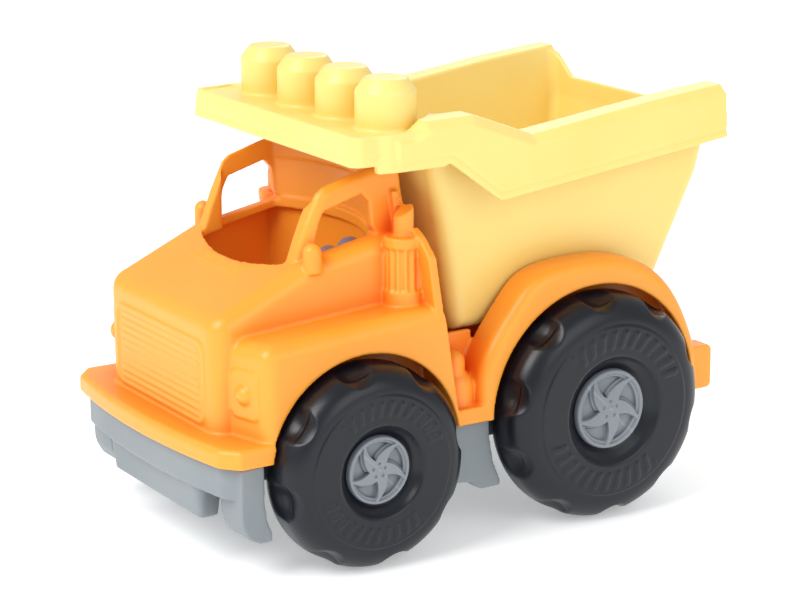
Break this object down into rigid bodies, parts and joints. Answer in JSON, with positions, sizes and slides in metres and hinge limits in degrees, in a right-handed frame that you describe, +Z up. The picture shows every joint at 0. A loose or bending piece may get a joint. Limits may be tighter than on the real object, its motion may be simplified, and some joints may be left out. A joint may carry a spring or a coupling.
{
  "type": "toy dump truck",
  "caption": "Toddler's moulded toy dump truck: open cab, fat rolling wheels, rear-hinged tipping bed and a row of building-block studs on the cab canopy.",
  "frame": {"origin": "on the ground, in the middle of the truck's bounding box", "axes": "+Z up, the truck drives towards -Y, +X is its left side"},
  "size_m": [0.168, 0.2535, 0.1965],
  "materials": {
    "orange_plastic": "satin moulded polypropylene",
    "yellow_plastic": "satin moulded polypropylene, slightly translucent",
    "grey_plastic": "satin moulded polypropylene with flow marks",
    "tyre_black": "satin black moulded plastic",
    "core_black": "matte moulded plastic",
    "silver_plastic": "pearl grey moulded plastic",
    "nylon": "natural nylon",
    "steel": "zinc plated steel",
    "driver_grey": "pearl grey moulded plastic"
  },
  "bodies": {
    "truck": {"body_shell": "orange_plastic", "cab_floor": "orange_plastic", "chassis": "grey_plastic", "front_axle_bushes": "nylon", "rear_axle_bushes": "nylon", "bed_hinge_pin": "steel", "hinge_pin_clips": "steel", "body_screws": "steel", "driver_figure": "driver_grey"},
    "front_wheelset": {"front_axle": "steel", "front_axle_washers": "steel", "front_left_tyre": "tyre_black", "front_left_wheel_core": "core_black", "front_left_hubcap": "silver_plastic", "front_right_tyre": "tyre_black", "front_right_wheel_core": "core_black", "front_right_hubcap": "silver_plastic"},
    "rear_wheelset": {"rear_axle": "steel", "rear_axle_washers": "steel", "rear_left_tyre": "tyre_black", "rear_left_wheel_core": "core_black", "rear_left_hubcap": "silver_plastic", "rear_right_tyre": "tyre_black", "rear_right_wheel_core": "core_black", "rear_right_hubcap": "silver_plastic"},
    "tipping_bed": {"dump_bed": "yellow_plastic"}
  },
  "joints": [
    {"name": "front_axle_roll", "type": "hinge", "parent": "truck", "child": "front_wheelset", "pos_m": [0, -0.0564, 0.0426], "axis": [1, 0, 0], "continuous": true},
    {"name": "rear_axle_roll", "type": "hinge", "parent": "truck", "child": "rear_wheelset", "pos_m": [0, 0.0588, 0.0491], "axis": [1, 0, 0], "continuous": true},
    {"name": "bed_tip", "type": "hinge", "parent": "truck", "child": "tipping_bed", "pos_m": [0, 0.0936, 0.076], "axis": [-1, 0, 0], "range_deg": [0, 50]}
  ]
}
